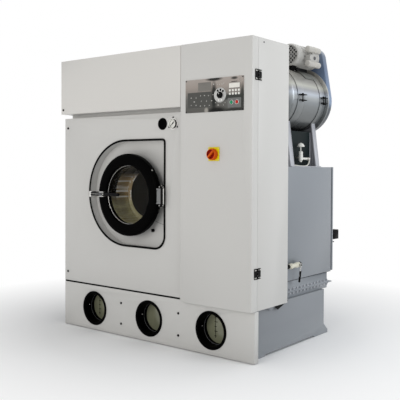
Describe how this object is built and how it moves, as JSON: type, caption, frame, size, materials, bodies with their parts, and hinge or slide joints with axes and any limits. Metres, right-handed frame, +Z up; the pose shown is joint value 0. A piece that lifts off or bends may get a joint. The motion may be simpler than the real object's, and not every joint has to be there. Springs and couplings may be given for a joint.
{
  "type": "dry cleaning machine",
  "caption": "Front-loading solvent dry cleaning machine with a round glazed door, tall control column, base tank with sight ports, still, and spin-disc filter with its own motor.",
  "frame": {"origin": "on the floor under the middle of the machine's overall width and depth", "axes": "+Z up, +X to the right seen from the front, +Y from the front to the back"},
  "size_m": [1.724, 1.266, 2.0407],
  "materials": {
    "white_paint": "semi-gloss powder coat, warm white",
    "grey_paint": "semi-gloss grey enamel",
    "tank_paint": "grey enamel on welded plate",
    "filter_paint": "gloss grey enamel",
    "guard_paint": "gloss blue-grey enamel",
    "black_rubber": "matt moulded rubber",
    "black_plastic": "satin moulded plastic",
    "black_paint": "gloss black stove enamel",
    "port_glass": "green-tinted sight glass",
    "door_glass": "bronze-tinted toughened glass",
    "polished_steel": "bright turned steel",
    "dark_steel": "oiled dark steel",
    "stainless": "brushed stainless steel",
    "zinc_plate": "zinc-plated sheet",
    "yellow_plastic": "gloss moulded plastic",
    "red_plastic": "gloss moulded plastic",
    "green_plastic": "gloss moulded plastic",
    "white_plastic": "satin white moulding with steel rim",
    "clear_hose": "translucent nylon tube"
  },
  "bodies": {
    "machine": {"base_tank": "tank_paint", "plinth_panel": "white_paint", "sight_tube_left": "black_plastic", "sight_glass_left": "port_glass", "sight_tube_middle": "black_plastic", "sight_glass_middle": "port_glass", "sight_tube_right": "black_plastic", "sight_glass_right": "port_glass", "front_panel": "white_paint", "door_recess": "white_paint", "recess_edging": "black_rubber", "hood_panel": "white_paint", "body_casing": "white_paint", "column_cabinet": "white_paint", "column_hinge_upper": "black_paint", "column_hinge_lower": "black_paint", "electrical_panel": "zinc_plate", "flow_window": "black_plastic", "pressure_gauge": "white_plastic", "door_seat": "black_rubber", "door_hinge_bracket": "dark_steel", "latch_keeper": "polished_steel", "loading_mouth": "stainless", "drum_housing": "stainless", "drum_belt": "black_rubber", "drive_motor": "guard_paint", "drying_unit": "filter_paint", "still_casing": "grey_paint", "still_base": "grey_paint", "level_box": "black_plastic", "ball_valve": "polished_steel", "filter_stand": "filter_paint", "filter_housing": "filter_paint", "filter_band_front": "filter_paint", "filter_band_rear": "filter_paint", "filter_motor": "filter_paint", "fan_cover": "filter_paint", "filter_belt": "black_rubber", "belt_guard": "guard_paint", "terminal_box": "filter_paint", "air_valve": "polished_steel", "air_hose": "clear_hose"},
    "loading_door": {"door_ring": "black_paint", "door_glass": "door_glass", "door_hinge_leaf": "polished_steel"},
    "door_latch": {"latch_lever": "polished_steel"},
    "column_door": {"column_door": "white_paint", "control_fascia": "stainless", "main_switch_plate": "yellow_plastic"},
    "main_switch": {"main_switch_knob": "red_plastic"},
    "program_dial": {"program_knob": "black_plastic"},
    "start_button": {"start_button": "green_plastic"},
    "stop_button": {"stop_button": "red_plastic"},
    "gauge_hand": {"gauge_pointer": "black_paint"},
    "drum": {"drum": "stainless", "drum_pulley": "black_paint"},
    "drive_motor_rotor": {"drive_pulley": "dark_steel"},
    "filter_spindle": {"filter_shaft": "stainless"},
    "filter_motor_rotor": {"motor_shaft": "dark_steel"},
    "ball_valve_lever": {"ball_valve_lever": "black_plastic"}
  },
  "joints": [
    {"name": "loading_door_hinge", "type": "hinge", "parent": "machine", "child": "loading_door", "pos_m": [0.132, -0.575, 0.984], "axis": [0, 0, 1], "range_deg": [0, 120]},
    {"name": "door_latch_turn", "type": "hinge", "parent": "loading_door", "child": "door_latch", "pos_m": [-0.411, -0.601, 0.984], "axis": [0, -1, 0], "range_deg": [0, 60]},
    {"name": "column_door_hinge", "type": "hinge", "parent": "machine", "child": "column_door", "pos_m": [0.858, -0.526, 1.1335], "axis": [0, 0, 1], "range_deg": [0, 110]},
    {"name": "main_switch_turn", "type": "hinge", "parent": "column_door", "child": "main_switch", "pos_m": [0.571, -0.607, 1.255], "axis": [0, 1, 0], "range_deg": [-90, 0]},
    {"name": "program_dial_turn", "type": "hinge", "parent": "column_door", "child": "program_dial", "pos_m": [0.62, -0.602, 1.614], "axis": [0, 1, 0], "range_deg": [-60, 60]},
    {"name": "start_button_press", "type": "slide", "parent": "column_door", "child": "start_button", "axis": [0, 1, 0], "range_m": [0, 0.003], "stiffness_N_per_m": 400},
    {"name": "stop_button_press", "type": "slide", "parent": "column_door", "child": "stop_button", "axis": [0, 1, 0], "range_m": [0, 0.003], "stiffness_N_per_m": 400},
    {"name": "gauge_hand_turn", "type": "hinge", "parent": "machine", "child": "gauge_hand", "pos_m": [0.208, -0.56, 1.457], "axis": [0, 1, 0], "range_deg": [0, 270], "stiffness_Nm_per_rad": 0.002},
    {"name": "drum_spin", "type": "hinge", "parent": "machine", "child": "drum", "pos_m": [-0.186, -0.157, 0.984], "axis": [0, 1, 0], "continuous": true},
    {"name": "drive_motor_spin", "type": "hinge", "parent": "machine", "child": "drive_motor_rotor", "pos_m": [-0.676, 0.263, 0.44], "axis": [0, 1, 0], "continuous": true},
    {"name": "filter_spin", "type": "hinge", "parent": "machine", "child": "filter_spindle", "pos_m": [0.554, 0.263, 1.653], "axis": [0, 1, 0], "continuous": true},
    {"name": "filter_motor_spin", "type": "hinge", "parent": "machine", "child": "filter_motor_rotor", "pos_m": [0.649, 0.363, 1.955], "axis": [0, 1, 0], "continuous": true},
    {"name": "ball_valve_turn", "type": "hinge", "parent": "machine", "child": "ball_valve_lever", "pos_m": [0.8435, 0.003, 0.535], "axis": [1, 0, 0], "range_deg": [0, 90]}
  ],
  "couplings": [
    {"joint": "drive_motor_spin", "follows": "drum_spin", "ratio": 4.6},
    {"joint": "filter_motor_spin", "follows": "filter_spin", "ratio": 3.6538}
  ]
}
